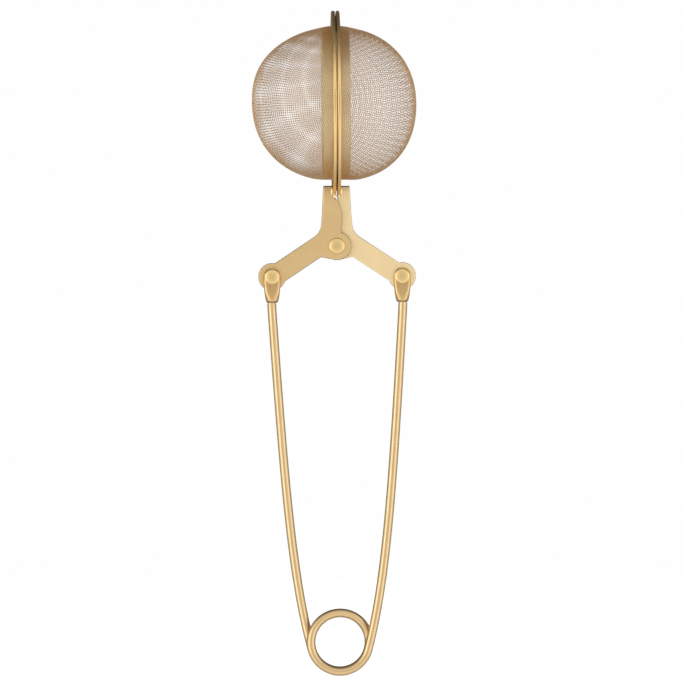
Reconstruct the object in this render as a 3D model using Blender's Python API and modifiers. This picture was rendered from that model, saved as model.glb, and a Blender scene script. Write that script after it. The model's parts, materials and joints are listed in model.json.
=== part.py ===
"""Tea infuser: a wire mesh ball in two halves on riveted lever plates, worked by a spring wire handle.

Frame: metres, +Z up along the length, the handle's plane is XZ, and the origin is the centre of the
spring's loop. Squeezing the two spring arms together turns the lever plates about the centre rivet
and opens the ball. The left half is the right half turned by 180 degrees about Z.
"""
import math

import bmesh
import bpy

NAME = "tea_infuser"

# Clearances
GAP = 0.0003
RIVET_PLAY = 0.00015

# Spring wire: one loop and two bowed arms
WIRE_RADIUS = 0.0011
LOOP_RADIUS = 0.0072
ARM_START_ANGLE = math.radians(15.2)
ARM_SPLAY = 0.0605
ARM_BOW_LENGTH = 0.020
ARM_TOP_X = 0.01624
COIL_LAYER_Y = WIRE_RADIUS + GAP / 2
LAYER_CHANGE_Z = (0.005, 0.080)
LOOP_STEPS = 56
ARM_STEPS = 30
ARM_STEP_POWER = 1.3

# Lever plates
PLATE_THICKNESS = 0.0012
PLATE_LAYER_Y = PLATE_THICKNESS / 2 + GAP / 2
CENTRE_PIVOT_Z = 0.09815
HUB_RADIUS = 0.0035
END_PIVOT_X = 0.01614
END_PIVOT_DROP = 0.00755
BOSS_RADIUS = 0.0034
ARM_SLOPE = math.radians(33.5)
ARM_HALF_WIDTH = 0.00255
ARM_DROP = 0.00017
UPRIGHT_TOP = 0.0149
UPRIGHT_TOP_HALF = 0.00328
UPRIGHT_MID_HALF = 0.0036
UPRIGHT_MID_HEIGHT = 0.0084
ROOT_FILLET_RADIUS = 0.0040
ROOT_FILLET_STEP = 0.00025
ROOT_FILLET_END = 183.0
NOTCH_FLARE = 0.0003
NOTCH_FOOT_HEIGHT = 0.0126
INNER_EDGE = ((0.0001, 0.0115), (-0.0002, 0.0115), (-0.0013, 0.0077), (-0.00105, 0.0045))
HUB_START = 107.5
HUB_END = 285.0
ARM_ROOT_DISTANCE = 0.0128

# Rivets
SHANK_RADIUS = 0.0008
END_HEAD_RADIUS = 0.0019
CENTRE_HEAD_RADIUS = 0.0020
HEAD_HEIGHT = 0.0007

# Ferrules: a fork over the plate's end boss, with a socket for the wire
CHEEK_THICKNESS = 0.0008
CHEEK_HALF_WIDTH = 0.00207
FORK_DEPTH = BOSS_RADIUS + GAP
FERRULE_DROP = 0.0064
SHOULDER_DROP = 0.0024
FERRULE_ROUNDING = 0.0004
MOUTH_HALF_WIDTH = 0.00145
SOCKET_RADIUS = 0.00105
SPIGOT_RADIUS = 0.0007
SPIGOT_LENGTH = 0.0022

# Ball
BALL_CENTRE_Z = 0.1336
BALL_RADIUS = 0.0190
BALL_DEPTH = 0.01985
BALL_FULLNESS = 2.15
MESH_THICKNESS = 0.00045
RIM_OUTER_RADIUS = 0.0228
RIM_INNER_RADIUS = 0.0178
RIM_THICKNESS = 0.00075
RIM_FACE_X = 0.00025
COLLAR_THICKNESS = 0.0004
COLLAR_WIDTH = 0.0020

# Resolution of the turned, cut and curved shapes
HUB_STEPS = 16
BOSS_STEPS = 22
FILLET_STEPS = 7
CHEEK_STEPS = 12
DOME_ROWS = 5
RING_STEPS = 48
BOWL_STEPS = 40
BOWL_ROWS = 10
RIVET_STEPS = 24
MERGE = 0.00001
EMPTY_SIZE = 0.004

# Materials, as colour and roughness
WIRE_GOLD = ((0.72, 0.50, 0.24), 0.25)
PLATE_GOLD = ((0.76, 0.54, 0.28), 0.35)
RIVET_GOLD = ((0.70, 0.46, 0.20), 0.20)
RIM_GOLD = ((0.74, 0.50, 0.25), 0.25)
MESH_GOLD = ((0.60, 0.45, 0.28), 0.40)


def clear_scene():
    for obj in list(bpy.data.objects):
        bpy.data.objects.remove(obj)


def new_collection(name):
    collection = bpy.data.collections.new(name)
    bpy.context.scene.collection.children.link(collection)
    return collection


def gold(name, colour, roughness):
    material = bpy.data.materials.new(name)
    material.use_nodes = True
    shader = material.node_tree.nodes["Principled BSDF"]
    shader.inputs["Base Color"].default_value = (*colour, 1.0)
    shader.inputs["Roughness"].default_value = roughness
    shader.inputs["Metallic"].default_value = 1.0
    return material


def add_empty(name, collection, location, turn):
    """An empty on a joint's axis, with its +X pointing to its own side of the infuser."""
    empty = bpy.data.objects.new(name, None)
    empty.location = location
    empty.rotation_euler = (0.0, 0.0, turn)
    empty.empty_display_size = EMPTY_SIZE
    collection.objects.link(empty)
    return empty


def add_object(name, data, collection, parent, material, location=(0, 0, 0), rotation=(0, 0, 0)):
    obj = bpy.data.objects.new(name, data)
    obj.parent = parent
    obj.location = location
    obj.rotation_euler = rotation
    if material is not None:
        data.materials.append(material)
    collection.objects.link(obj)
    return obj


def arc(centre, radius, start, end, steps):
    """Points on a circle from one angle to another, in degrees, both ends included."""
    points = []
    for i in range(steps + 1):
        angle = math.radians(start + (end - start) * i / steps)
        points.append((centre[0] + radius * math.cos(angle), centre[1] + radius * math.sin(angle)))
    return points


def smooth(t):
    t = min(1.0, max(0.0, t))
    return t * t * (3.0 - 2.0 * t)


# Shapes -----------------------------------------------------------------------------------------


def turned(name, profile, closed, collection, parent, material, location, rotation, steps):
    """A profile of (radius, height) points, from the top down its outer side, turned about Z."""
    mesh = bpy.data.meshes.new(name)
    edges = [(i, i + 1) for i in range(len(profile) - 1)]
    if closed:
        edges.append((len(profile) - 1, 0))
    mesh.from_pydata([(radius, 0.0, height) for radius, height in profile], edges, [])
    obj = add_object(name, mesh, collection, parent, material, location, rotation)
    screw = obj.modifiers.new("Turn", "SCREW")
    screw.steps = steps
    screw.render_steps = steps
    screw.use_merge_vertices = True
    screw.merge_threshold = MERGE
    screw.use_smooth_shade = True
    return obj


def plate_curve(name, outlines, half_thickness):
    """A flat plate: the first outline is its edge, and the others are holes."""
    curve = bpy.data.curves.new(name, "CURVE")
    curve.dimensions = "2D"
    curve.fill_mode = "BOTH"
    curve.extrude = half_thickness
    for outline in outlines:
        spline = curve.splines.new("POLY")
        spline.points.add(len(outline) - 1)
        for point, (x, y) in zip(spline.points, outline):
            point.co = (x, y, 0.0, 1.0)
        spline.use_cyclic_u = True
    return curve


def wire_curve(name, points):
    """A round wire through (x, y, z, radius) points, with closed ends."""
    curve = bpy.data.curves.new(name, "CURVE")
    curve.dimensions = "3D"
    curve.bevel_depth = WIRE_RADIUS
    curve.bevel_resolution = 2
    curve.use_fill_caps = True
    spline = curve.splines.new("POLY")
    spline.points.add(len(points) - 1)
    for point, (x, y, z, radius) in zip(spline.points, points):
        point.co = (x, y, z, 1.0)
        point.radius = radius / WIRE_RADIUS
    return curve


def mesh_from(obj, collection):
    """Makes a curve object a mesh object of the same name, place and parent, with its caps welded."""
    bpy.context.view_layer.update()
    mesh = bpy.data.meshes.new_from_object(obj.evaluated_get(bpy.context.evaluated_depsgraph_get()))
    welded = bmesh.new()
    welded.from_mesh(mesh)
    bmesh.ops.remove_doubles(welded, verts=welded.verts, dist=MERGE)
    bmesh.ops.recalc_face_normals(welded, faces=welded.faces)
    welded.to_mesh(mesh)
    welded.free()
    name, parent, place = obj.name, obj.parent, obj.matrix_world.copy()
    bpy.data.objects.remove(obj)
    solid = bpy.data.objects.new(name, mesh)
    solid.parent = parent
    collection.objects.link(solid)
    solid.matrix_world = place
    return solid


def cutter(name, kind, cutters, parent, location, size, rotation=(0, 0, 0)):
    """A box of the given sides, or a cylinder of the given radius and length along its own Z."""
    mesh = bpy.data.meshes.new(name)
    shape = bmesh.new()
    if kind == "box":
        bmesh.ops.create_cube(shape, size=1.0)
        bmesh.ops.scale(shape, vec=size, verts=shape.verts)
    else:
        radius, length = size
        bmesh.ops.create_cone(
            shape, cap_ends=True, segments=RIVET_STEPS, radius1=radius, radius2=radius, depth=length
        )
    shape.to_mesh(mesh)
    shape.free()
    obj = add_object(name, mesh, cutters, parent, None, location, rotation)
    obj.hide_render = True
    obj.display_type = "WIRE"
    return obj


def cut(obj, tool):
    boolean = obj.modifiers.new("Cut", "BOOLEAN")
    boolean.operation = "DIFFERENCE"
    boolean.object = tool


# Spring wire ------------------------------------------------------------------------------------


def arm_foot():
    """Where an arm leaves the loop, as (x, z) on the right side."""
    return LOOP_RADIUS * math.cos(ARM_START_ANGLE), -LOOP_RADIUS * math.sin(ARM_START_ANGLE)


def arm_offset(rise):
    """The right arm's distance from the middle at a height above its foot: a splay and a bow."""
    bow = (math.tan(ARM_START_ANGLE) - ARM_SPLAY) * ARM_BOW_LENGTH
    return arm_foot()[0] + ARM_SPLAY * rise + bow * (1.0 - math.exp(-rise / ARM_BOW_LENGTH))


def make_spring_loop(collection, material):
    """The loop turns once and a half: down the right in front, over the top, and out on the left."""
    trim = GAP / 2 / LOOP_RADIUS
    start = -ARM_START_ANGLE - trim
    end = -3.0 * math.pi + ARM_START_ANGLE + trim
    front_end = -math.pi + ARM_START_ANGLE
    back_start = -2.0 * math.pi - ARM_START_ANGLE
    points = []
    for i in range(LOOP_STEPS + 1):
        angle = start + (end - start) * i / LOOP_STEPS
        layer = smooth((angle - front_end) / (back_start - front_end)) * 2.0 - 1.0
        x = LOOP_RADIUS * math.cos(angle)
        z = LOOP_RADIUS * math.sin(angle)
        points.append((x, layer * COIL_LAYER_Y, z, WIRE_RADIUS))
    return add_object("spring_loop", wire_curve("spring_loop", points), collection, None, material)


def make_spring_arm(side, collection, foot, material):
    """A bowed arm from the loop to its ferrule, ending in a thinner spigot inside the socket."""
    foot_x, foot_z = arm_foot()
    mouth_rise = CENTRE_PIVOT_Z - END_PIVOT_DROP - FERRULE_DROP - foot_z
    top_rise = mouth_rise - GAP
    low, high = LAYER_CHANGE_Z
    points = []
    for i in range(ARM_STEPS + 1):
        rise = GAP / 2 + (top_rise - GAP / 2) * (i / ARM_STEPS) ** ARM_STEP_POWER
        across = smooth((rise + foot_z - low) / (high - low))
        y = -COIL_LAYER_Y + (COIL_LAYER_Y + PLATE_LAYER_Y) * across
        x = min(arm_offset(rise), ARM_TOP_X) - foot_x
        points.append((x, y, rise, WIRE_RADIUS))
    spigot_x = ARM_TOP_X - foot_x
    points.append((spigot_x, PLATE_LAYER_Y, top_rise + GAP / 4, SPIGOT_RADIUS))
    points.append((spigot_x, PLATE_LAYER_Y, mouth_rise + SPIGOT_LENGTH, SPIGOT_RADIUS))
    name = side + "_spring_arm"
    return add_object(name, wire_curve(name, points), collection, foot, material)


# Levers, ferrules and rivets --------------------------------------------------------------------


def lever_outline():
    """The right lever's edge, seen from the front and measured from the centre pivot."""
    along = (math.cos(ARM_SLOPE), -math.sin(ARM_SLOPE))
    up = (math.sin(ARM_SLOPE), math.cos(ARM_SLOPE))
    boss = (END_PIVOT_X, -END_PIVOT_DROP)
    upper = ARM_HALF_WIDTH - ARM_DROP
    lower = -ARM_HALF_WIDTH - ARM_DROP
    arm_angle = 180.0 - math.degrees(ARM_SLOPE)

    def on_arm(offset, distance):
        """A point this far above the line through the end pivot and this far back along the arm."""
        return (
            boss[0] + up[0] * offset - along[0] * distance,
            boss[1] + up[1] * offset - along[1] * distance,
        )

    def boss_angle(offset):
        """Where an edge of the arm meets the boss."""
        return arm_angle - math.degrees(math.asin(offset / BOSS_RADIUS))

    fillet_x = UPRIGHT_MID_HALF + ROOT_FILLET_STEP + ROOT_FILLET_RADIUS
    run = (boss[0] - fillet_x) / along[0]
    fillet_z = boss[1] - run * along[1] + (upper + ROOT_FILLET_RADIUS) / up[1]
    notch_x = RIM_FACE_X + RIM_THICKNESS + GAP
    notch = [(notch_x + NOTCH_FLARE, UPRIGHT_TOP), (notch_x, NOTCH_FOOT_HEIGHT)]
    hub = arc((0.0, 0.0), HUB_RADIUS, HUB_START, HUB_END, HUB_STEPS)
    arm_root = [on_arm(lower, ARM_ROOT_DISTANCE)]
    end_boss = arc(boss, BOSS_RADIUS, boss_angle(lower), boss_angle(upper) + 360.0, BOSS_STEPS)
    fillet_start = 270.0 - math.degrees(ARM_SLOPE)
    fillet = arc(
        (fillet_x, fillet_z), ROOT_FILLET_RADIUS, fillet_start, ROOT_FILLET_END, FILLET_STEPS
    )
    outer_edge = [(UPRIGHT_MID_HALF, UPRIGHT_MID_HEIGHT), (UPRIGHT_TOP_HALF, UPRIGHT_TOP)]
    return notch + list(INNER_EDGE) + hub + arm_root + end_boss + fillet + outer_edge


def make_lever(side, collection, axis, material):
    """A flat stamped plate: hub, arm with an end boss, and an upright that holds its half ball."""
    boss = (END_PIVOT_X, -END_PIVOT_DROP)
    hole_radius = SHANK_RADIUS + RIVET_PLAY
    last_angle = 360.0 - 360.0 / RIVET_STEPS
    centre_hole = arc((0.0, 0.0), hole_radius, 0.0, last_angle, RIVET_STEPS - 1)
    end_hole = arc(boss, hole_radius, 0.0, last_angle, RIVET_STEPS - 1)
    name = side + "_lever"
    curve = plate_curve(name, [lever_outline(), centre_hole, end_hole], PLATE_THICKNESS / 2)
    return add_object(
        name, curve, collection, axis, material, (0.0, PLATE_LAYER_Y, 0.0), (math.pi / 2, 0.0, 0.0)
    )


def rivet_profile(head_radius, grip):
    """A domed head at each end of a shank, the two heads' undersides one grip apart."""
    sphere = (head_radius**2 + HEAD_HEIGHT**2) / (2.0 * HEAD_HEIGHT)
    dome = []
    for i in range(DOME_ROWS + 1):
        radius = head_radius * i / DOME_ROWS
        dome.append((radius, grip / 2 + HEAD_HEIGHT - sphere + math.sqrt(sphere**2 - radius**2)))
    top = dome + [(SHANK_RADIUS, grip / 2)]
    bottom = [(radius, -height) for radius, height in reversed(top)]
    return top + bottom


def make_rivet(name, collection, axis, material, head_radius, grip, layer_y):
    profile = rivet_profile(head_radius, grip)
    return turned(
        name, profile, False, collection, axis, material,
        (0.0, layer_y, 0.0), (math.pi / 2, 0.0, 0.0), RIVET_STEPS,
    )


def make_ferrule(side, collection, cutters, pivot, material):
    """A fork whose two cheeks straddle the plate's end boss, narrowing to the wire's socket."""
    name = side + "_ferrule"
    fork_half = PLATE_THICKNESS / 2 + GAP
    half_thickness = fork_half + CHEEK_THICKNESS
    outline = arc((0.0, 0.0), CHEEK_HALF_WIDTH, 0.0, 180.0, CHEEK_STEPS)
    outline += [(-CHEEK_HALF_WIDTH, -SHOULDER_DROP), (-MOUTH_HALF_WIDTH, -FERRULE_DROP)]
    outline += [(MOUTH_HALF_WIDTH, -FERRULE_DROP), (CHEEK_HALF_WIDTH, -SHOULDER_DROP)]
    curve = plate_curve(name, [outline], half_thickness)
    place = (0.0, PLATE_LAYER_Y, 0.0)
    blank = add_object(name, curve, collection, pivot, None, place, (math.pi / 2, 0.0, 0.0))
    body = mesh_from(blank, collection)
    body.data.materials.append(material)
    rounding = body.modifiers.new("Round", "BEVEL")
    rounding.width = FERRULE_ROUNDING
    rounding.segments = 2
    rounding.limit_method = "ANGLE"
    fork_top = CHEEK_HALF_WIDTH + GAP
    slot = (4.0 * CHEEK_HALF_WIDTH, 2.0 * fork_half, fork_top + FORK_DEPTH)
    slot_place = (0.0, PLATE_LAYER_Y, (fork_top - FORK_DEPTH) / 2)
    cut(body, cutter(side + "_fork_slot", "box", cutters, pivot, slot_place, slot))
    socket_place = (0.0, PLATE_LAYER_Y, -FERRULE_DROP)
    socket_size = (SOCKET_RADIUS, 2.0 * (FERRULE_DROP - FORK_DEPTH + GAP))
    cut(body, cutter(side + "_socket", "cylinder", cutters, pivot, socket_place, socket_size))
    hole = (SHANK_RADIUS + RIVET_PLAY, 4.0 * half_thickness)
    across = (math.pi / 2, 0.0, 0.0)
    cut(body, cutter(side + "_cheek_hole", "cylinder", cutters, pivot, place, hole, across))
    return body


# Half balls -------------------------------------------------------------------------------------


def ball_radius_at(depth, shrink):
    """The half ball's radius at a depth from the middle plane, less a wall."""
    reach = min(1.0, depth / (BALL_DEPTH - shrink))
    return (BALL_RADIUS - shrink) * (1.0 - reach**BALL_FULLNESS) ** (1.0 / BALL_FULLNESS)


def bowl_side(shrink, mouth, steps):
    """Points from the pole to the mouth, evenly spread in angle."""
    depth = BALL_DEPTH - shrink
    points = []
    for i in range(steps + 1):
        height = depth * math.cos(math.pi / 2 * i / steps) ** (2.0 / BALL_FULLNESS)
        if height <= mouth:
            break
        points.append((ball_radius_at(height, shrink), height))
    points.append((ball_radius_at(mouth, shrink), mouth))
    return points


def make_mesh_bowl(side, collection, axis, material):
    """Half of the ball. The woven mesh is a plain shell here."""
    mouth = RIM_FACE_X + RIM_THICKNESS + GAP
    outside = bowl_side(0.0, mouth, BOWL_ROWS)
    inside = bowl_side(MESH_THICKNESS, mouth, BOWL_ROWS)
    return turned(
        side + "_mesh_bowl", outside + inside[::-1], False, collection, axis, material,
        (0.0, 0.0, BALL_CENTRE_Z - CENTRE_PIVOT_Z), (0.0, math.pi / 2, 0.0), BOWL_STEPS,
    )


def ring(name, inner, outer, near, far, edge, collection, axis, material):
    """A flat ring of rectangular section with its outer corners eased."""
    profile = [
        (inner, far), (outer - edge, far), (outer, far - edge),
        (outer, near + edge), (outer - edge, near), (inner, near),
    ]
    return turned(
        name, profile, True, collection, axis, material,
        (0.0, 0.0, BALL_CENTRE_Z - CENTRE_PIVOT_Z), (0.0, math.pi / 2, 0.0), RING_STEPS,
    )


def make_rim(side, collection, axis, material):
    far = RIM_FACE_X + RIM_THICKNESS
    return ring(
        side + "_rim", RIM_INNER_RADIUS, RIM_OUTER_RADIUS, RIM_FACE_X, far, RIM_THICKNESS / 4,
        collection, axis, material,
    )


def make_collar(side, collection, axis, material):
    """The band inside the mesh bowl's mouth that holds the mesh to the rim."""
    near = RIM_FACE_X + RIM_THICKNESS + GAP
    return ring(
        side + "_collar", RIM_INNER_RADIUS, RIM_INNER_RADIUS + COLLAR_THICKNESS, near, near + COLLAR_WIDTH,
        COLLAR_THICKNESS / 4, collection, axis, material,
    )


def main():
    clear_scene()
    parts = new_collection(NAME)
    cutters = new_collection(NAME + "_cutters")
    wire = gold("wire_gold", *WIRE_GOLD)
    plate = gold("plate_gold", *PLATE_GOLD)
    rivet = gold("rivet_gold", *RIVET_GOLD)
    rim = gold("rim_gold", *RIM_GOLD)
    mesh = gold("mesh_gold", *MESH_GOLD)
    make_spring_loop(parts, wire)
    foot_x, foot_z = arm_foot()
    end_grip = PLATE_THICKNESS + 2.0 * (GAP + CHEEK_THICKNESS + RIVET_PLAY)
    centre_grip = 2.0 * (PLATE_LAYER_Y + PLATE_THICKNESS / 2 + RIVET_PLAY)
    for side, hand, turn in (("right", 1.0, 0.0), ("left", -1.0, math.pi)):
        foot = add_empty(side + "_arm_axis", parts, (hand * foot_x, 0.0, foot_z), turn)
        end_place = (hand * END_PIVOT_X, 0.0, CENTRE_PIVOT_Z - END_PIVOT_DROP)
        end_pivot = add_empty(side + "_end_axis", parts, end_place, turn)
        jaw = add_empty(side + "_jaw_axis", parts, (0.0, 0.0, CENTRE_PIVOT_Z), turn)
        make_spring_arm(side, parts, foot, wire)
        make_ferrule(side, parts, cutters, end_pivot, plate)
        make_rivet(
            side + "_ferrule_rivet", parts, end_pivot, rivet, END_HEAD_RADIUS, end_grip, PLATE_LAYER_Y
        )
        make_lever(side, parts, jaw, plate)
        make_rim(side, parts, jaw, rim)
        make_collar(side, parts, jaw, rim)
        make_mesh_bowl(side, parts, jaw, mesh)
    centre = bpy.data.objects["right_jaw_axis"]
    make_rivet("centre_rivet", parts, centre, rivet, CENTRE_HEAD_RADIUS, centre_grip, 0.0)


main()
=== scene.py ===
"""A ball tea infuser with a sprung wire handle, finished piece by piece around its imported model.

The handle is one drawn wire: a coil of one and a half turns with an arm rising from each end. Each arm
ends in a pressed ferrule, riveted to a stamped lever. The two levers cross at the centre rivet, and each
one carries half of the ball: a hemmed rim, a collar inside it and a bowl of woven wire.
"""

import itertools
import json
import math

import bmesh
import bpy
from bpy.props import FloatProperty, FloatVectorProperty, IntProperty
from mathutils import Matrix, Vector


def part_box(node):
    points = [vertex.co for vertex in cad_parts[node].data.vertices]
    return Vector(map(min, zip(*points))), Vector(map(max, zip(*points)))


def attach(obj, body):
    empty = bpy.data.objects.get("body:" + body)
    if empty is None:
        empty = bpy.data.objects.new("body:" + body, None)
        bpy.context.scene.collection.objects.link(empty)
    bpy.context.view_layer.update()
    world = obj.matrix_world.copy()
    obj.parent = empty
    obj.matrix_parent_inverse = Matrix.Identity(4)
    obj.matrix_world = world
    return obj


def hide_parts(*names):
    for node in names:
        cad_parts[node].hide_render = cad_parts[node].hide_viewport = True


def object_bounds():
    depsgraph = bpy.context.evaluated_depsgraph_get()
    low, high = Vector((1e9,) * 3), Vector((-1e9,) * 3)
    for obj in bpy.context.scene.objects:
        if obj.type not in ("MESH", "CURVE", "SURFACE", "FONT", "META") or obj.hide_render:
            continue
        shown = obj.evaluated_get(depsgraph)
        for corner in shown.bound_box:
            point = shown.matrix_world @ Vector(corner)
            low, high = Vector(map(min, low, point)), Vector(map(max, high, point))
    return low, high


bl_info = {
    "name": "Ball tea infuser",
    "version": (1, 0, 0),
    "blender": (4, 5, 0),
    "location": "3D View > Sidebar > Infuser",
    "description": "Builds the wire, levers, rivets, rims and woven bowls of a ball tea infuser",
    "category": "Object",
}

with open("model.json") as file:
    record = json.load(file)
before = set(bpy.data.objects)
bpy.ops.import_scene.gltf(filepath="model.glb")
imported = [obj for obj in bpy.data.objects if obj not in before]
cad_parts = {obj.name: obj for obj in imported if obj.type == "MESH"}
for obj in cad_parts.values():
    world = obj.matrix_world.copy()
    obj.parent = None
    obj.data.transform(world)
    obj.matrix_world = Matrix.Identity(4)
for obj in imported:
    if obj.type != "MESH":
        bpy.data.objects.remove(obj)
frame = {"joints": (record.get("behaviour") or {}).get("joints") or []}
cad_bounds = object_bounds()

MM = 0.001
SIDES = (("right", 1.0), ("left", -1.0))
HALF_TURN = Matrix.Rotation(math.pi, 4, "Z")

# The coating: the tone of the painted shade on edges and across the plates' top end, and the play in its
# gloss.
EDGE_SHADE_TONE = 0.28
TOP_SHADE_TONE = 0.76
GLOSS_PLAY = 0.06
GRAIN_RELIEF = 0.5


def middle_of(node):
    """The middle of a node's box."""
    low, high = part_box(node)
    return (low + high) / 2


def size_of(node):
    low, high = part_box(node)
    return high - low


def joint_place(name):
    """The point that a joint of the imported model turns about."""
    return Vector(next(j["pos_m"] for j in frame["joints"] if j["name"] == name))


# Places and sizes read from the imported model.
CENTRE_PIVOT = joint_place("jaw_hinge")
END_PIVOT = joint_place("right_ferrule_pivot")
ARM_FOOT = joint_place("right_arm_bend")
BALL_CENTRE = Vector((0.0, 0.0, middle_of("right_rim").z))
RIM_LOW, RIM_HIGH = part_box("right_rim")
PLATE_LOW, PLATE_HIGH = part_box("right_lever")
COLLAR_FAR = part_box("right_collar")[1].x
RIM_RADIUS = size_of("right_rim").z / 2
COLLAR_RADIUS = size_of("right_collar").z / 2
PLATE_LAYER = (PLATE_LOW.y + PLATE_HIGH.y) / 2


def linear(text):
    """A colour written as sRGB hex, as the linear values that the shaders take."""
    parts = [int(text[i : i + 2], 16) / 255 for i in (0, 2, 4)]
    return tuple(v / 12.92 if v <= 0.04045 else ((v + 0.055) / 1.055) ** 2.4 for v in parts)


def length(name, description, millimetres):
    """A length property, given in millimetres and held in metres."""
    return FloatProperty(
        name=name, description=description, default=millimetres * MM, min=0.0, precision=5, unit="LENGTH"
    )


def colour(name, description, text):
    return FloatVectorProperty(
        name=name, description=description, default=linear(text), subtype="COLOR", size=3, min=0.0, max=1.0
    )


class InfuserSizes(bpy.types.PropertyGroup):
    """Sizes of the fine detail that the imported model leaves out."""

    wire_radius: length("Wire radius", "Half the thickness of the handle wire", 1.1)
    coil_radius: length("Coil radius", "From the coil's middle to the middle of its wire", 7.2)
    coil_layer: length("Coil layer", "How far each turn of the coil lies from the middle plane", 1.25)
    arm_rise_start: length("Side step start", "Height where an arm starts to step sideways", 5.0)
    arm_rise_end: length("Side step end", "Height where an arm lies in its lever's plane", 80.0)
    plate_edge: length("Plate edge", "Rounding along the stamped plates' edges", 0.26)
    plate_end: length("Plate end", "Rounding across the top of the uprights", 0.58)
    hem_width: length("Hem width", "Width of the sheet folded back round each rim", 2.3)
    sheet: length("Rim sheet", "Thickness of the rims' sheet", 0.18)
    thread_pitch: length("Thread pitch", "From one thread of the mesh to the next", 0.70)
    thread: length("Thread thickness", "Thickness of one thread of the mesh", 0.108)
    thread_sides: IntProperty(
        name="Thread sides", description="Flat sides round one thread of the mesh", default=5, min=3, max=8
    )


class InfuserColours(bpy.types.PropertyGroup):
    """Colours of the gold coating on each kind of piece."""

    wire: colour("Wire", "Coating on the drawn handle wire", "debf8f")
    # The two levers share one coating: the front one gets a painted-shade copy of its tint, the rear one a
    # painted-light copy.
    left_plate_shaded: colour("Left lever", "Coating on the front lever", "e4c48e")
    right_plate_lit: colour("Right lever", "Coating on the rear lever", "ffe1ae")
    ferrule: colour("Ferrules", "Coating on the pressed ferrules", "dcb880")
    rivet: colour("Rivets", "Coating on the rivet heads", "e8c98c")
    rim: colour("Rims", "Coating on the hemmed rims", "ebc78c")
    # Painted light: the collars' tint is paler than the rims' coating, to lift them out of the shade of the
    # mesh over them.
    collar: colour("Collars", "Coating on the collars inside the mesh", "fff0c6")
    thread: colour("Threads", "Coating on the woven threads", "d3b086")
    braze: colour("Braze", "The bright brazed joint under the rims", "f2e2c0")


class InfuserStage(bpy.types.PropertyGroup):
    """The floor, the light and the camera."""

    floor: colour("Floor", "Pale floor", "fbfbfa")
    lens_distance: length("Camera distance", "From the camera to the object", 1500.0)
    view_width: length("View width", "Width that the camera sees at the object", 169.5)


# Materials


def add_node(tree, kind, settings=None, links=None):
    """Adds a node, sets its properties and sockets, and links sources to its sockets."""
    node = tree.nodes.new(kind)
    for key, value in (settings or {}).items():
        if isinstance(key, str) and hasattr(node, key):
            setattr(node, key, value)
        else:
            node.inputs[key].default_value = value
    for key, source in (links or {}).items():
        tree.links.new(source, node.inputs[key])
    return node


def new_material(name):
    """An empty material with its output, and the output's surface socket."""
    material = bpy.data.materials.new(name)
    material.use_nodes = True
    material.node_tree.nodes.clear()
    output = add_node(material.node_tree, "ShaderNodeOutputMaterial")
    return material, material.node_tree, output.inputs["Surface"]


def shaded(colour_value, amount):
    """A colour made darker or lighter, with alpha."""
    return tuple(min(1.0, v * amount) for v in colour_value[:3]) + (1.0,)


def mapped(tree, value, before, after, kind="LINEAR"):
    """A value moved from one range to another and held inside it."""
    ends = {"From Min": before[0], "From Max": before[1], "To Min": after[0], "To Max": after[1]}
    node = add_node(tree, "ShaderNodeMapRange", {"interpolation_type": kind, **ends}, {"Value": value})
    return node.outputs[0]


def scaled(tree, tone, share):
    """A tone made darker by a share."""
    times = {"operation": "SCALE"}
    return add_node(tree, "ShaderNodeVectorMath", times, {0: tone, "Scale": share}).outputs[0]


def painted_edge_shade(tree, tone, way, start, end):
    """The tone, darker where the surface turns to face between two shares of a way: painted shade on edges,
    for the shadow lines at seams and mouths.
    """
    facing = add_node(tree, "ShaderNodeTexCoord").outputs["Normal"]
    along = add_node(tree, "ShaderNodeVectorMath", {"operation": "DOT_PRODUCT", 1: way}, {0: facing})
    share = add_node(tree, "ShaderNodeMath", {"operation": "ABSOLUTE"}, {0: along.outputs["Value"]})
    return scaled(tree, tone, mapped(tree, share.outputs[0], (start, end), (1.0, EDGE_SHADE_TONE)))


def painted_top_shade(tree, tone, millimetres, start, end):
    """The tone, darker between two heights in millimetres: painted shade across the top end of the plates.
    """
    apart = add_node(tree, "ShaderNodeSeparateXYZ", {}, {0: millimetres})
    top_shade = mapped(tree, apart.outputs["Z"], (start, end), (1.0, TOP_SHADE_TONE), "SMOOTHSTEP")
    return scaled(tree, tone, top_shade)


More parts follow.
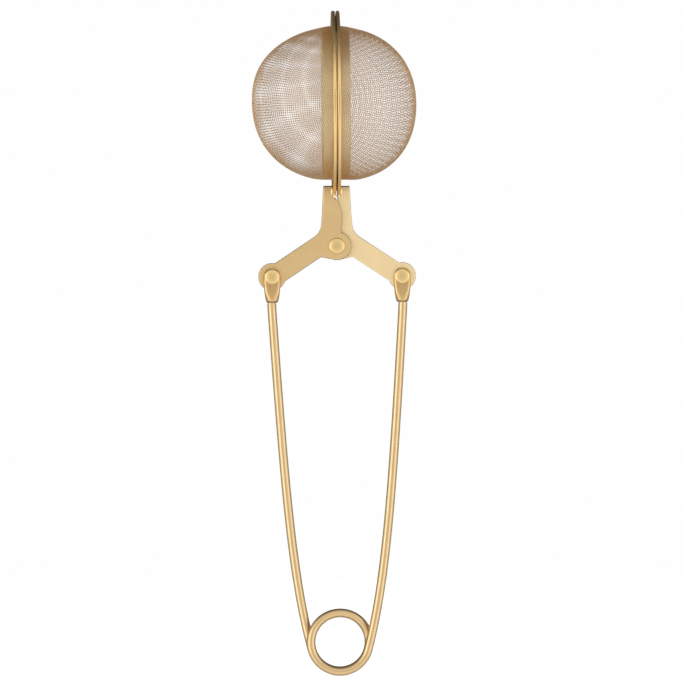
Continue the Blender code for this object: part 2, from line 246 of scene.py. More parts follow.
def coated_metal(
    name, tint, place, grain_scale, grain_depth, roughness, cloud=4.0, shade=0.07, edges=None, top_shade=None
):
    """Gold-coated steel. place gives a tree's coordinates in millimetres, stretched along the grain.

    The fine grain, with grain_scale ridges for each millimetre, moves both the gloss and the normal. The
    tone drifts by shade over cloud millimetres. edges gives the way, start and end of painted shade on the
    edges, and top_shade the heights of painted shade across the top end.
    """
    material, tree, surface = new_material(name)
    point = add_node(tree, "ShaderNodeTexCoord").outputs["Object"]
    millimetres = add_node(
        tree, "ShaderNodeVectorMath", {"operation": "SCALE", "Scale": 1 / MM}, {0: point}
    ).outputs[0]
    clouds = add_node(
        tree,
        "ShaderNodeTexNoise",
        {"Scale": 1 / cloud, "Detail": 3.0, "Roughness": 0.55},
        {"Vector": millimetres},
    )
    grain = add_node(
        tree,
        "ShaderNodeTexNoise",
        {"Scale": grain_scale, "Detail": 4.0, "Roughness": 0.6},
        {"Vector": place(tree, millimetres)},
    )
    tone = add_node(
        tree,
        "ShaderNodeMix",
        {"data_type": "RGBA", 6: shaded(tint, 1.0 - shade), 7: shaded(tint, 1.0 + shade)},
        {0: clouds.outputs["Fac"]},
    ).outputs[2]
    if edges:
        tone = painted_edge_shade(tree, tone, *edges)
    if top_shade:
        tone = painted_top_shade(tree, tone, millimetres, *top_shade)
    play = (roughness - GLOSS_PLAY, roughness + GLOSS_PLAY)
    gloss = mapped(tree, grain.outputs["Fac"], (0.3, 0.7), play)
    bump = add_node(
        tree,
        "ShaderNodeBump",
        {"Strength": GRAIN_RELIEF, "Distance": grain_depth},
        {"Height": grain.outputs["Fac"]},
    )
    shader = add_node(
        tree,
        "ShaderNodeBsdfPrincipled",
        {"Metallic": 1.0},
        {"Base Color": tone, "Roughness": gloss, "Normal": bump.outputs[0]},
    )
    tree.links.new(shader.outputs[0], surface)
    return material


def stretched(tree, place, by):
    """A place with each axis multiplied: a small number draws a pattern out that way."""
    return add_node(tree, "ShaderNodeVectorMath", {"operation": "MULTIPLY", 1: by}, {0: place}).outputs[0]


def as_it_lies(tree, millimetres):
    """Grain with no direction."""
    return millimetres


def along_wire(tree, millimetres):
    """Grain drawn out along a wire, from its own map: round it across, along it up."""
    drawn = add_node(tree, "ShaderNodeUVMap", {"uv_map": "along_wire"}).outputs[0]
    lines_round, change_each_mm = 14.0, 0.35
    return stretched(tree, drawn, (lines_round, change_each_mm, 1.0))


def round_ball_axis(tree, millimetres):
    """Grain that runs in rings round the ball's axis, as turning leaves it."""
    centre = add_node(
        tree,
        "ShaderNodeVectorMath",
        {"operation": "SUBTRACT", 1: tuple(BALL_CENTRE / MM)},
        {0: millimetres},
    )
    apart = add_node(tree, "ShaderNodeSeparateXYZ", {}, {0: centre.outputs[0]})
    flat = add_node(tree, "ShaderNodeCombineXYZ", {}, {"Y": apart.outputs["Y"], "Z": apart.outputs["Z"]})
    radius = add_node(tree, "ShaderNodeVectorMath", {"operation": "LENGTH"}, {0: flat.outputs[0]})
    turn = add_node(
        tree, "ShaderNodeMath", {"operation": "ARCTAN2"}, {0: apart.outputs["Y"], 1: apart.outputs["Z"]}
    )
    rings = add_node(
        tree,
        "ShaderNodeCombineXYZ",
        {},
        {"X": radius.outputs["Value"], "Y": turn.outputs[0], "Z": apart.outputs["X"]},
    )
    return rings.outputs[0]


def upright_grain(tree, millimetres):
    """Grain pressed lengthwise, from a folding die."""
    return stretched(tree, millimetres, (1.0, 1.0, 0.18))


def drawn_wire(tint):
    """Drawn spring steel, coated gold: faint die lines along it blur its highlight into a soft streak."""
    return coated_metal(
        "drawn_gold_wire", tint, along_wire, grain_scale=1.0, grain_depth=0.006 * MM, roughness=0.36
    )


def tumbled_plate(name, tint):
    """Stamped steel plate, tumbled and coated: a dry satin face, with a grain of about 0.3 mm.

    Its edges and its top end, where the rims were brazed on, are darkened with painted shade.
    """
    top = PLATE_HIGH.z / MM
    return coated_metal(
        name,
        tint,
        as_it_lies,
        grain_scale=3.2,
        grain_depth=0.006 * MM,
        roughness=0.46,
        cloud=6.0,
        # Painted shade: darker rounded edges and side walls along the plate's outline.
        edges=((0.0, 1.0, 0.0), 0.92, 0.6),
        # Painted shade: a darker band across the top end of the uprights.
        top_shade=(top - 1.8, top - 0.2),
    )


def pressed_ferrule(tint):
    """Folded steel sheet, coated: smoother than the plates, with faint lengthwise press marks."""
    return coated_metal(
        "pressed_gold_ferrule",
        tint,
        upright_grain,
        grain_scale=3.0,
        grain_depth=0.008 * MM,
        roughness=0.32,
        # Painted shade on the faces that turn up or down, across the top and round the mouth.
        edges=((0.0, 0.0, 1.0), 0.25, 0.6),
    )


def headed_rivet(tint):
    """Cold-headed rivet, coated: its grain is half as deep as the plates', so its dome shades evenly."""
    return coated_metal(
        "headed_gold_rivet",
        tint,
        as_it_lies,
        grain_scale=2.5,
        grain_depth=0.003 * MM,
        roughness=0.39,
        cloud=2.0,
    )


def turned_rim(tint):
    """Spun steel hoop, coated: fine rings round the ball's axis draw the highlight into a line."""
    return coated_metal(
        "spun_gold_rim", tint, round_ball_axis, grain_scale=5.0, grain_depth=0.006 * MM, roughness=0.28
    )


def rolled_collar(tint):
    """Rolled steel strip, coated: duller than the rims, because it lies behind the mesh."""
    return coated_metal(
        "rolled_gold_collar", tint, round_ball_axis, grain_scale=4.0, grain_depth=0.006 * MM, roughness=0.40
    )


def woven_thread(tint):
    """Fine drawn wire, woven and then coated: the threads' tone drifts every two or three threads."""
    return coated_metal(
        "woven_gold_thread",
        tint,
        as_it_lies,
        grain_scale=1.6,
        grain_depth=0.004 * MM,
        roughness=0.38,
        cloud=1.5,
        shade=0.14,
    )


def melted_braze(tint):
    """Brazing alloy that ran into the notch and set: pale, smooth and slightly wavy."""
    return coated_metal(
        "pale_braze", tint, as_it_lies, grain_scale=1.5, grain_depth=0.02 * MM, roughness=0.22, cloud=1.0
    )


# Mesh helpers


def new_piece(name, mesh, material, body, slot, *replaced):
    """Puts a finished mesh in the scene, riding on its body."""
    piece = bpy.data.objects.new(name, mesh)
    bpy.context.scene.collection.objects.link(piece)
    mesh.materials.clear()
    mesh.materials.append(material)
    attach(piece, body)
    if replaced:
        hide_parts(*replaced)
    return piece


def finished_mesh(mesh, modifiers=(), sharp=None):
    """A mesh with modifiers applied, each given as (kind, settings).

    It is smooth but for edges over sharp degrees.
    """
    holder = bpy.data.objects.new("holder", mesh)
    bpy.context.scene.collection.objects.link(holder)
    mesh.shade_smooth()
    for kind, settings in modifiers:
        modifier = holder.modifiers.new(kind, kind)
        for key, value in settings.items():
            setattr(modifier, key, value)
    graph = bpy.context.evaluated_depsgraph_get()
    done = bpy.data.meshes.new_from_object(
        holder.evaluated_get(graph), preserve_all_data_layers=True, depsgraph=graph
    )
    bpy.data.objects.remove(holder)
    if sharp is not None:
        done.set_sharp_from_angle(angle=math.radians(sharp))
    return done


def mesh_of(name, points, faces):
    mesh = bpy.data.meshes.new(name)
    mesh.from_pydata(points, [], faces)
    return mesh


def as_mesh(bm, name, sharp=None):
    """Ends a bmesh as a mesh, shaded smooth but for edges over sharp degrees where that is given."""
    mesh = bpy.data.meshes.new(name)
    bm.to_mesh(mesh)
    bm.free()
    if sharp is not None:
        mesh.shade_smooth()
        mesh.set_sharp_from_angle(angle=math.radians(sharp))
    return mesh


def bridge(bm, low, high):
    """Joins two rows of points round an axis with faces. A row of one point is a pole."""
    count = max(len(low), len(high))
    for k in range(count):
        n = (k + 1) % count
        corners = (low[k % len(low)], low[n % len(low)], high[n % len(high)], high[k % len(high)])
        bm.faces.new(list(dict.fromkeys(corners)))


def smooth_step(t):
    t = min(1.0, max(0.0, t))
    return t * t * (3.0 - 2.0 * t)


def handed(point, hand):
    """A point of the right half, turned half a turn about Z where the left half is meant."""
    return Vector((point[0] * hand, point[1] * hand, point[2]))


def turn_to_side(mesh, hand):
    """Turns a mesh of the right half half a turn about Z where the left half is meant."""
    if hand < 0:
        mesh.transform(HALF_TURN)


def wire_mesh(name, path, radii, start_length, sides=24):
    """A round wire along a path that stays near the middle plane, with a radius for each of its points.

    It is mapped by its girth and its length in millimetres, the length counted on from start_length.
    """
    bm = bmesh.new()
    layer = bm.loops.layers.uv.new("along_wire")
    loops = []
    travelled = start_length
    last = len(path) - 1
    for i, (point, radius) in enumerate(zip(path, radii)):
        along = (path[min(i + 1, last)] - path[max(i - 1, 0)]).normalized()
        side = along.cross(Vector((0.0, 1.0, 0.0))).normalized()
        up = along.cross(side)
        travelled += (point - path[max(i - 1, 0)]).length / MM
        loop = []
        for k in range(sides):
            turn = 2 * math.pi * k / sides
            loop.append(bm.verts.new(point + (side * math.cos(turn) + up * math.sin(turn)) * radius))
        loops.append((loop, travelled))
    for (low, low_at), (high, high_at) in zip(loops, loops[1:]):
        for k in range(sides):
            face = bm.faces.new((low[k], low[(k + 1) % sides], high[(k + 1) % sides], high[k]))
            corners = ((k, low_at), (k + 1, low_at), (k + 1, high_at), (k, high_at))
            for corner, (step, at) in zip(face.loops, corners):
                corner[layer].uv = (step / sides, at)
    bm.faces.new(loops[0][0][::-1])
    bm.faces.new(loops[-1][0])
    bmesh.ops.recalc_face_normals(bm, faces=bm.faces)
    return as_mesh(bm, name, 50)


def turned_mesh(name, profile, steps, centre, axis="X", closed=True):
    """A profile of (along, radius) points turned about an axis through centre.

    A closed profile makes a ring. An open one starts and ends on the axis.
    """
    bm = bmesh.new()
    rows = []
    for along, radius in profile:
        if radius < 1e-7:
            rows.append([bm.verts.new(turned_point(along, 0.0, 0.0, centre, axis))])
            continue
        turns = [2 * math.pi * k / steps for k in range(steps)]
        rows.append([bm.verts.new(turned_point(along, radius, turn, centre, axis)) for turn in turns])
    for low, high in zip(rows, rows[1:] + rows[:1] if closed else rows[1:]):
        bridge(bm, low, high)
    bmesh.ops.recalc_face_normals(bm, faces=bm.faces)
    return as_mesh(bm, name, 40)


def turned_point(along, radius, turn, centre, axis):
    across, up = radius * math.cos(turn), radius * math.sin(turn)
    if axis == "X":
        return Vector((along, across, up)) + centre
    return Vector((across, along, up)) + centre


def arc(centre, radius, start, end, steps):
    """Points on an arc, with its angles in degrees."""
    points = []
    for i in range(steps + 1):
        turn = math.radians(start + (end - start) * i / steps)
        points.append((centre[0] + radius * math.cos(turn), centre[1] + radius * math.sin(turn)))
    return points


# Handle wire


STEP_LENGTH = 0.01 * MM  # where a wire changes in thickness
PLUG_LENGTH = 0.6 * MM  # how far the coil's ends reach into the arms


def foot_angle(sizes):
    """How far below the coil's middle, as an angle round it, each arm leaves it."""
    return math.asin(-ARM_FOOT.z / sizes.coil_radius)


def arm_path(sizes, hand):
    """The middle line of one arm with its radii, from its foot on the coil to its end inside the ferrule.

    It bows out from the coil to a straight splay. Under the ferrule's mouth it steps down to a thin spigot.
    """
    splay, bow_length, furthest_x = 0.0605, 20.0 * MM, END_PIVOT.x + 0.1 * MM
    shoulder_drop, spigot_length, spigot_step = 0.2 * MM, 2.0 * MM, 0.14 * MM
    bow = (math.tan(foot_angle(sizes)) - splay) * bow_length
    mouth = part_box("right_ferrule")[0].z
    shoulder = mouth - shoulder_drop - ARM_FOOT.z
    steps = 90
    rises = [shoulder * i / steps for i in range(steps + 1)]
    rises += [rises[-1] + STEP_LENGTH, mouth + spigot_length - ARM_FOOT.z]
    radii = [sizes.wire_radius] * (steps + 1) + [sizes.wire_radius - spigot_step] * 2
    points = []
    for rise in rises:
        z = ARM_FOOT.z + rise
        x = ARM_FOOT.x + splay * rise + bow * (1.0 - math.exp(-rise / bow_length))
        step = smooth_step((z - sizes.arm_rise_start) / (sizes.arm_rise_end - sizes.arm_rise_start))
        y = -sizes.coil_layer + (PLATE_LAYER + sizes.coil_layer) * step
        points.append(handed((min(x, furthest_x), y, z), hand))
    return points, radii


def coil_path(sizes):
    """The middle line of the coil: down from the right foot, one and a half turns round to the left one.

    The front and the back stretches each lie flat in their own layer, and the top one crosses over.
    """
    foot = foot_angle(sizes)
    start, end = -foot, -3 * math.pi + foot
    front_end, back_start = -math.pi + foot, -2 * math.pi - foot
    steps = 216
    points = []
    for i in range(steps + 1):
        turn = start + (end - start) * i / steps
        step = smooth_step((turn - front_end) / (back_start - front_end))
        y = (2.0 * step - 1.0) * sizes.coil_layer
        points.append(Vector((sizes.coil_radius * math.cos(turn), y, sizes.coil_radius * math.sin(turn))))
    return points


def with_plugs(points, radius):
    """A wire's points and radii, with a short thin plug beyond each end, so the bend there never opens."""
    plug = radius * 0.8
    first = (points[0] - points[1]).normalized()
    final = (points[-1] - points[-2]).normalized()
    before = [points[0] + first * PLUG_LENGTH, points[0] + first * STEP_LENGTH]
    after = [points[-1] + final * STEP_LENGTH, points[-1] + final * PLUG_LENGTH]
    return before + points + after, [plug, plug] + [radius] * len(points) + [plug, plug]


def path_length(points):
    return sum((b - a).length for a, b in zip(points, points[1:])) / MM


class INFUSER_OT_handle_wire(bpy.types.Operator):
    """Draws the coil and the two arms of the handle in round wire"""

    bl_idname = "infuser.handle_wire"
    bl_label = "Handle wire"

    def execute(self, context):
        sizes, colours = context.scene.infuser_sizes, context.scene.infuser_colours
        material = drawn_wire(colours.wire)
        coil = coil_path(sizes)
        points, radii = with_plugs(coil, sizes.wire_radius)
        mesh = wire_mesh("coil_wire", points, radii, -PLUG_LENGTH / MM)
        new_piece("coil_wire", mesh, material, "spring_coil", "spring_wire", "spring_loop")
        for side, hand in SIDES:
            points, radii = arm_path(sizes, hand)
            start = path_length(coil)
            if hand > 0:
                points, radii = points[::-1], radii[::-1]
                start = -path_length(points)
            mesh = wire_mesh(side + "_arm_wire", points, radii, start)
            new_piece(side + "_arm_wire", mesh, material, side + "_arm", "spring_wire", side + "_spring_arm")
        return {"FINISHED"}


# Levers


def lever_outline():
    """The right lever's outline about the centre pivot: an upright, a hub, and an arm to its end boss."""
    slope_degrees = 33.5
    slope = math.radians(slope_degrees)
    half_width, drop = 2.55 * MM, 0.17 * MM
    hub_radius, boss_radius, fillet_radius = 3.5 * MM, 3.4 * MM, 4.0 * MM
    top_half, mid_half, mid_height = 3.28 * MM, 3.6 * MM, 8.4 * MM
    boss = (END_PIVOT.x - CENTRE_PIVOT.x, END_PIVOT.z - CENTRE_PIVOT.z)
    along = (math.cos(slope), -math.sin(slope))
    up = (math.sin(slope), math.cos(slope))
    upper, lower = half_width - drop, -half_width - drop

    def on_arm(offset, distance):
        return (
            boss[0] + up[0] * offset - along[0] * distance,
            boss[1] + up[1] * offset - along[1] * distance,
        )

    def boss_angle(offset):
        return 180.0 - slope_degrees - math.degrees(math.asin(offset / boss_radius))

    top = PLATE_HIGH.z - CENTRE_PIVOT.z
    fillet_x = mid_half + 0.25 * MM + fillet_radius
    run = (boss[0] - fillet_x) / along[0]
    fillet_z = boss[1] - run * along[1] + (upper + fillet_radius) / up[1]
    notch_x, notch_side, notch_foot = RIM_HIGH.x + 0.03 * MM, 12.6 * MM, 11.5 * MM
    notch = [(notch_x, top), (notch_x, notch_side), (0.1 * MM, notch_foot), (-0.2 * MM, notch_foot)]
    inner_edge = [(-1.3 * MM, 7.7 * MM), (-1.05 * MM, 4.5 * MM)]
    hub_start, hub_end, fillet_end = 107.5, 285.0, 183.0
    hub = arc((0.0, 0.0), hub_radius, hub_start, hub_end, 30)
    arm_root = [on_arm(lower, 12.8 * MM)]
    end_boss = arc(boss, boss_radius, boss_angle(lower), boss_angle(upper) + 360.0, 44)
    fillet = arc((fillet_x, fillet_z), fillet_radius, 270.0 - slope_degrees, fillet_end, 14)
    outer_edge = [(mid_half, mid_height), (top_half, top)]
    return notch + inner_edge + hub + arm_root + end_boss + fillet + outer_edge, boss, top


def plate_mesh(name, outline, holes, near, far, top, sizes):
    """A flat plate cut to an outline with round holes, its edges rounded, more so across its top end."""
    bm = bmesh.new()
    edges = []
    for loop in [outline] + holes:
        corners = [bm.verts.new((x, near, z)) for x, z in loop]
        for a, b in zip(corners, corners[1:] + corners[:1]):
            edges.append(bm.edges.new((a, b)))
    bmesh.ops.triangle_fill(bm, edges=edges, use_beauty=True, use_dissolve=False)
    raised = bmesh.ops.extrude_face_region(bm, geom=list(bm.faces))
    moved = [item for item in raised["geom"] if isinstance(item, bmesh.types.BMVert)]
    bmesh.ops.translate(bm, verts=moved, vec=(0.0, far - near, 0.0))
    bmesh.ops.recalc_face_normals(bm, faces=bm.faces)
    weight = bm.edges.layers.float.new("bevel_weight_edge")
    for edge in bm.edges:
        if edge.is_manifold and edge.calc_face_angle(0.0) > math.radians(50.0):
            at_top = all(abs(v.co.z - top) < 1e-6 for v in edge.verts)
            lies_flat = abs(edge.verts[0].co.y - edge.verts[1].co.y) < 1e-6
            edge[weight] = 1.0 if at_top and lies_flat else sizes.plate_edge / sizes.plate_end
    mesh = as_mesh(bm, name)
    bevel = {
        "width": sizes.plate_end,
        "segments": 4,
        "limit_method": "WEIGHT",
        "harden_normals": True,
        "use_clamp_overlap": True,
    }
    return finished_mesh(mesh, [("BEVEL", bevel)])


class INFUSER_OT_levers(bpy.types.Operator):
    """Stamps the two crossed levers with rounded edges and rivet holes"""

    bl_idname = "infuser.levers"
    bl_label = "Levers"

    def execute(self, context):
        sizes, colours = context.scene.infuser_sizes, context.scene.infuser_colours
        tints = {"left": colours.left_plate_shaded, "right": colours.right_plate_lit}
        outline, boss, top = lever_outline()
        hole_radius = 0.95 * MM
        for side, hand in SIDES:
            material = tumbled_plate(side + "_tumbled_gold_plate", tints[side])
            holes = [arc(middle, hole_radius, 0.0, 345.0, 23) for middle in ((0.0, 0.0), boss)]
            mesh = plate_mesh(side + "_lever_plate", outline, holes, PLATE_LOW.y, PLATE_HIGH.y, top, sizes)
            mesh.transform(Matrix.Translation(CENTRE_PIVOT))
            turn_to_side(mesh, hand)
            new_piece(side + "_lever_plate", mesh, material, side + "_jaw", "lever_plate", side + "_lever")
        return {"FINISHED"}


# Ferrules


def ferrule_body(name, half_x, half_y, drop, mouth_half):
    """A boot of folded sheet: a round top, flat cheeks, and a nose that narrows to the wire.

    Its sections are rounded squares, rounder towards the nose, whose lip turns in round the wire.
    """
    levels = []
    nose_steps, top_steps, sides = 28, 22, 72
    flat_cheek = 6.5
    for i in range(nose_steps + 1):
        t = (i / nose_steps) ** 1.5
        grow = (1.0 - (1.0 - t) ** 2.4) ** 0.85
        lip = 1.0 - 0.13 * (1.0 - min(1.0, t * 14.0)) ** 2
        x = (mouth_half + (half_x - mouth_half) * grow) * lip
        y = (mouth_half + (half_y - mouth_half) * min(1.0, grow * 1.15)) * lip
        square = 2.0 + (flat_cheek - 2.0) * smooth_step(t * 1.3)
        levels.append((-drop + drop * t, x, y, square))
    for i in range(1, top_steps + 1):
        turn = math.radians(87.0) * i / top_steps
        levels.append((half_x * math.sin(turn), half_x * math.cos(turn), half_y, flat_cheek))
    bm = bmesh.new()
    loops = []
    for z, x, y, square in levels:
        loop = []
        for k in range(sides):
            turn = 2 * math.pi * (k + 0.5) / sides
            c, s = math.cos(turn), math.sin(turn)
            across = x * math.copysign(abs(c) ** (2.0 / square), c)
            deep = y * math.copysign(abs(s) ** (2.0 / square), s)
            loop.append(bm.verts.new((across, deep, z)))
        loops.append(loop)
    for low, high in zip(loops, loops[1:]):
        bridge(bm, low, high)
    bm.faces.new(loops[0][::-1])
    bm.faces.new(loops[-1])
    bmesh.ops.recalc_face_normals(bm, faces=bm.faces)
    return as_mesh(bm, name)


def cutter_box(low, high):
    """A closed box between two corners, to cut with."""
    bm = bmesh.new()
    corners = [bm.verts.new(corner) for corner in itertools.product(*zip(low, high))]
    bmesh.ops.convex_hull(bm, input=corners)
    return as_mesh(bm, "slot")


def with_cutters(mesh, cutters, sharp):
    """A mesh with each cutter's shape taken away."""
    holders = []
    for cutter in cutters:
        holder = bpy.data.objects.new("cutter", cutter)
        bpy.context.scene.collection.objects.link(holder)
        holders.append(holder)
    cuts = [("BOOLEAN", {"operation": "DIFFERENCE", "solver": "EXACT", "object": h}) for h in holders]
    done = finished_mesh(mesh, cuts, sharp)
    for holder in holders:
        bpy.data.objects.remove(holder)
    return done


class INFUSER_OT_ferrules(bpy.types.Operator):
    """Folds the two ferrules that join the arms to the levers"""

    bl_idname = "infuser.ferrules"
    bl_label = "Ferrules"

    def execute(self, context):
        sizes, colours = context.scene.infuser_sizes, context.scene.infuser_colours
        material = pressed_ferrule(colours.ferrule)
        low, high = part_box("right_ferrule")
        half_x, half_y = (high.x - low.x) / 2, (high.y - low.y) / 2
        drop = END_PIVOT.z - low.z
        slot_half, slot_foot = (PLATE_HIGH.y - PLATE_LOW.y) / 2 + 0.25 * MM, -3.75 * MM
        mouth_half, socket_mouth, socket_radius = 1.38 * MM, 1.3 * MM, 1.17 * MM
        clear, lead_in, socket_depth = 1.0 * MM, 0.15 * MM, 2.3 * MM
        for side, hand in SIDES:
            body = ferrule_body(side + "_pressed_ferrule", half_x, half_y, drop, mouth_half)
            slot = cutter_box((-4 * MM, -slot_half, slot_foot), (4 * MM, slot_half, 4 * MM))
            socket_profile = [
                (-drop - clear, 0.0),
                (-drop - clear, socket_mouth),
                (-drop + lead_in, socket_radius),
                (-drop + socket_depth, socket_radius),
                (-drop + socket_depth, 0.0),
            ]
            socket = turned_mesh("socket", socket_profile, 48, Vector(), "X", False)
            socket.transform(Matrix.Rotation(-math.pi / 2, 4, "Y"))
            mesh = with_cutters(body, [slot, socket], 42)
            mesh.transform(Matrix.Translation(Vector((END_PIVOT.x, PLATE_LAYER, END_PIVOT.z))))
            turn_to_side(mesh, hand)
            new_piece(side + "_pressed_ferrule", mesh, material, side + "_arm", "ferrule", side + "_ferrule")
        return {"FINISHED"}


# Rivets


def rivet_profile(head, grip, dimple):
    """Half the outline of a rivet with two domed heads, from one pole to the other.

    head is a head's radius, grip what it holds between its heads, and dimple the radius of a punch mark.
    """
    half, shank, height, wall = grip / 2, 0.8 * MM, 0.7 * MM, 0.16 * MM
    steps = 14
    if dimple > 0:
        dome = [(half + height - 0.05 * MM, 0.0), (half + height - 0.03 * MM, dimple * 0.7)]
    else:
        dome = [(half + height, 0.0)]
    for i in range(2, steps + 1):
        turn = math.pi / 2 * i / steps
        rise = (height - wall) * math.cos(turn) ** 0.9
        dome.append((half + wall + rise, head * math.sin(turn)))
    dome += [(half + wall * 0.4, head), (half + 0.02 * MM, head * 0.965), (half, head * 0.93)]
    return dome + [(half, shank), (-half, shank)] + [(-a, r) for a, r in reversed(dome)]


class INFUSER_OT_rivets(bpy.types.Operator):
    """Turns the centre rivet and the two ferrule rivets"""

    bl_idname = "infuser.rivets"
    bl_label = "Rivets"

    def execute(self, context):
        colours = context.scene.infuser_colours
        material = headed_rivet(colours.rivet)
        centre_head, end_head, punch_mark = 2.0 * MM, 1.9 * MM, 0.4 * MM
        profile = rivet_profile(centre_head, 2 * PLATE_HIGH.y + 0.04 * MM, 0.0)
        mesh = turned_mesh("centre_domed_rivet", profile, 72, CENTRE_PIVOT, "Y", False)
        new_piece("centre_domed_rivet", mesh, material, "right_jaw", "rivet", "centre_rivet")
        profile = rivet_profile(end_head, size_of("right_ferrule").y + 0.02 * MM, punch_mark)
        for side, hand in SIDES:
            place = handed((END_PIVOT.x, PLATE_LAYER, END_PIVOT.z), hand)
            mesh = turned_mesh(side + "_domed_rivet", profile, 72, place, "Y", False)
            new_piece(side + "_domed_rivet", mesh, material, side + "_arm", "rivet", side + "_ferrule_rivet")
        return {"FINISHED"}


# Rims and collars


def rim_profile(sizes):
    """The right rim's section: two layers of sheet, hemmed round the outer edge, the mesh between them."""
    inner, ease = RIM_RADIUS - 5.0 * MM, 0.1 * MM
    near, far = RIM_LOW.x - 0.12 * MM, RIM_HIGH.x
    half, middle = (far - near) / 2, (near + far) / 2
    hem_end = RIM_RADIUS - sizes.hem_width
    ledge = far - sizes.sheet
    hem_steps, roundness = 16, 0.55
    points = [(near + ease, inner), (near, inner + ease)]
    for i in range(hem_steps + 1):
        turn = math.pi * i / hem_steps
        across = math.copysign(abs(math.cos(turn)) ** roundness, -math.cos(turn))
        points.append((middle + half * across, RIM_RADIUS - half * (1.0 - math.sin(turn) ** roundness)))
    points += [(far, hem_end + 0.08 * MM), (far - 0.04 * MM, hem_end)]
    points += [(ledge, hem_end - 0.03 * MM), (ledge, inner + ease), (ledge - ease, inner)]
    return points


def collar_profile(sizes):
    """The right collar's section: a plain band from the rim's ledge inwards, with its free edge eased."""
    near, far = RIM_HIGH.x - sizes.sheet + 0.02 * MM, COLLAR_FAR
    outer, wall, ease = COLLAR_RADIUS, 0.3 * MM, 0.1 * MM
    inner = outer - wall
    free_edge = [(far - ease, inner), (far, inner + ease), (far, outer - ease), (far - ease, outer)]
    return [(near, inner)] + free_edge + [(near, outer)]


class INFUSER_OT_rims(bpy.types.Operator):
    """Spins the two hemmed rims and the collars inside the bowls"""

    bl_idname = "infuser.rims"
    bl_label = "Rims and collars"

    def execute(self, context):
        sizes, colours = context.scene.infuser_sizes, context.scene.infuser_colours
        rim_gold, collar_gold = turned_rim(colours.rim), rolled_collar(colours.collar)
        for side, hand in SIDES:
            body = side + "_jaw"
            rim = turned_mesh(side + "_hemmed_rim", rim_profile(sizes), 240, BALL_CENTRE)
            band = turned_mesh(side + "_collar_band", collar_profile(sizes), 200, BALL_CENTRE)
            turn_to_side(rim, hand)
            turn_to_side(band, hand)
            new_piece(side + "_hemmed_rim", rim, rim_gold, body, "rim", side + "_rim")
            new_piece(side + "_collar_band", band, collar_gold, body, "rim", side + "_collar")
        return {"FINISHED"}


# Woven bowls


def bowl_profile():
    """Points down the bowl's side, as (distance from the pole, radius, depth from the middle plane).

    The side is a full, slightly squared half ball, then flares out to be clamped in the rim.
    """
    low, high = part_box("right_mesh_bowl")
    radius, depth, mouth = (high.z - low.z) / 2, high.x, low.x
    fullness, flare = 2.15, 0.55 * MM
    steps, flare_steps = 160, 8
    side = []
    for i in range(steps + 1):
        height = depth * math.cos(math.pi / 2 * i / steps) ** (2.0 / fullness)
        if height < mouth:
            break
        side.append((radius * (1.0 - (height / depth) ** fullness) ** (1.0 / fullness), height))
    for i in range(1, flare_steps + 1):
        turn = math.pi / 2 * i / flare_steps
        side.append((radius + flare * (1.0 - math.cos(turn)), mouth - flare * math.sin(turn)))
    profile = [(0.0, side[0][0], side[0][1])]
    for (r0, d0), (r1, d1) in zip(side, side[1:]):
        profile.append((profile[-1][0] + math.hypot(r1 - r0, d1 - d0), r1, d1))
    return profile


def on_profile(profile, distance):
    """The radius, the depth and the slope (radius and depth for each metre) at a distance from the pole."""
    low, high = 0, len(profile) - 1
    while high - low > 1:
        middle = (low + high) // 2
        if profile[middle][0] <= distance:
            low = middle
        else:
            high = middle
    (s0, r0, d0), (s1, r1, d1) = profile[low], profile[high]
    t = (distance - s0) / (s1 - s0)
    slope = Vector((r1 - r0, d1 - d0)).normalized()
    return r0 + (r1 - r0) * t, d0 + (d1 - d0) * t, slope


def dent(spot, dents):
    """How far the hand-formed bowl stands out at a spot.

    Each dent has an angle above the pole, a reach outwards and a width as an angle.
    """
    way = spot.normalized()
    out = 0.0
    for raised, reach, width in dents:
        peak = Vector((math.cos(raised), 0.0, math.sin(raised)))
        out += reach * math.exp(-(way.angle(peak) ** 2) / (2 * width**2))
    return out


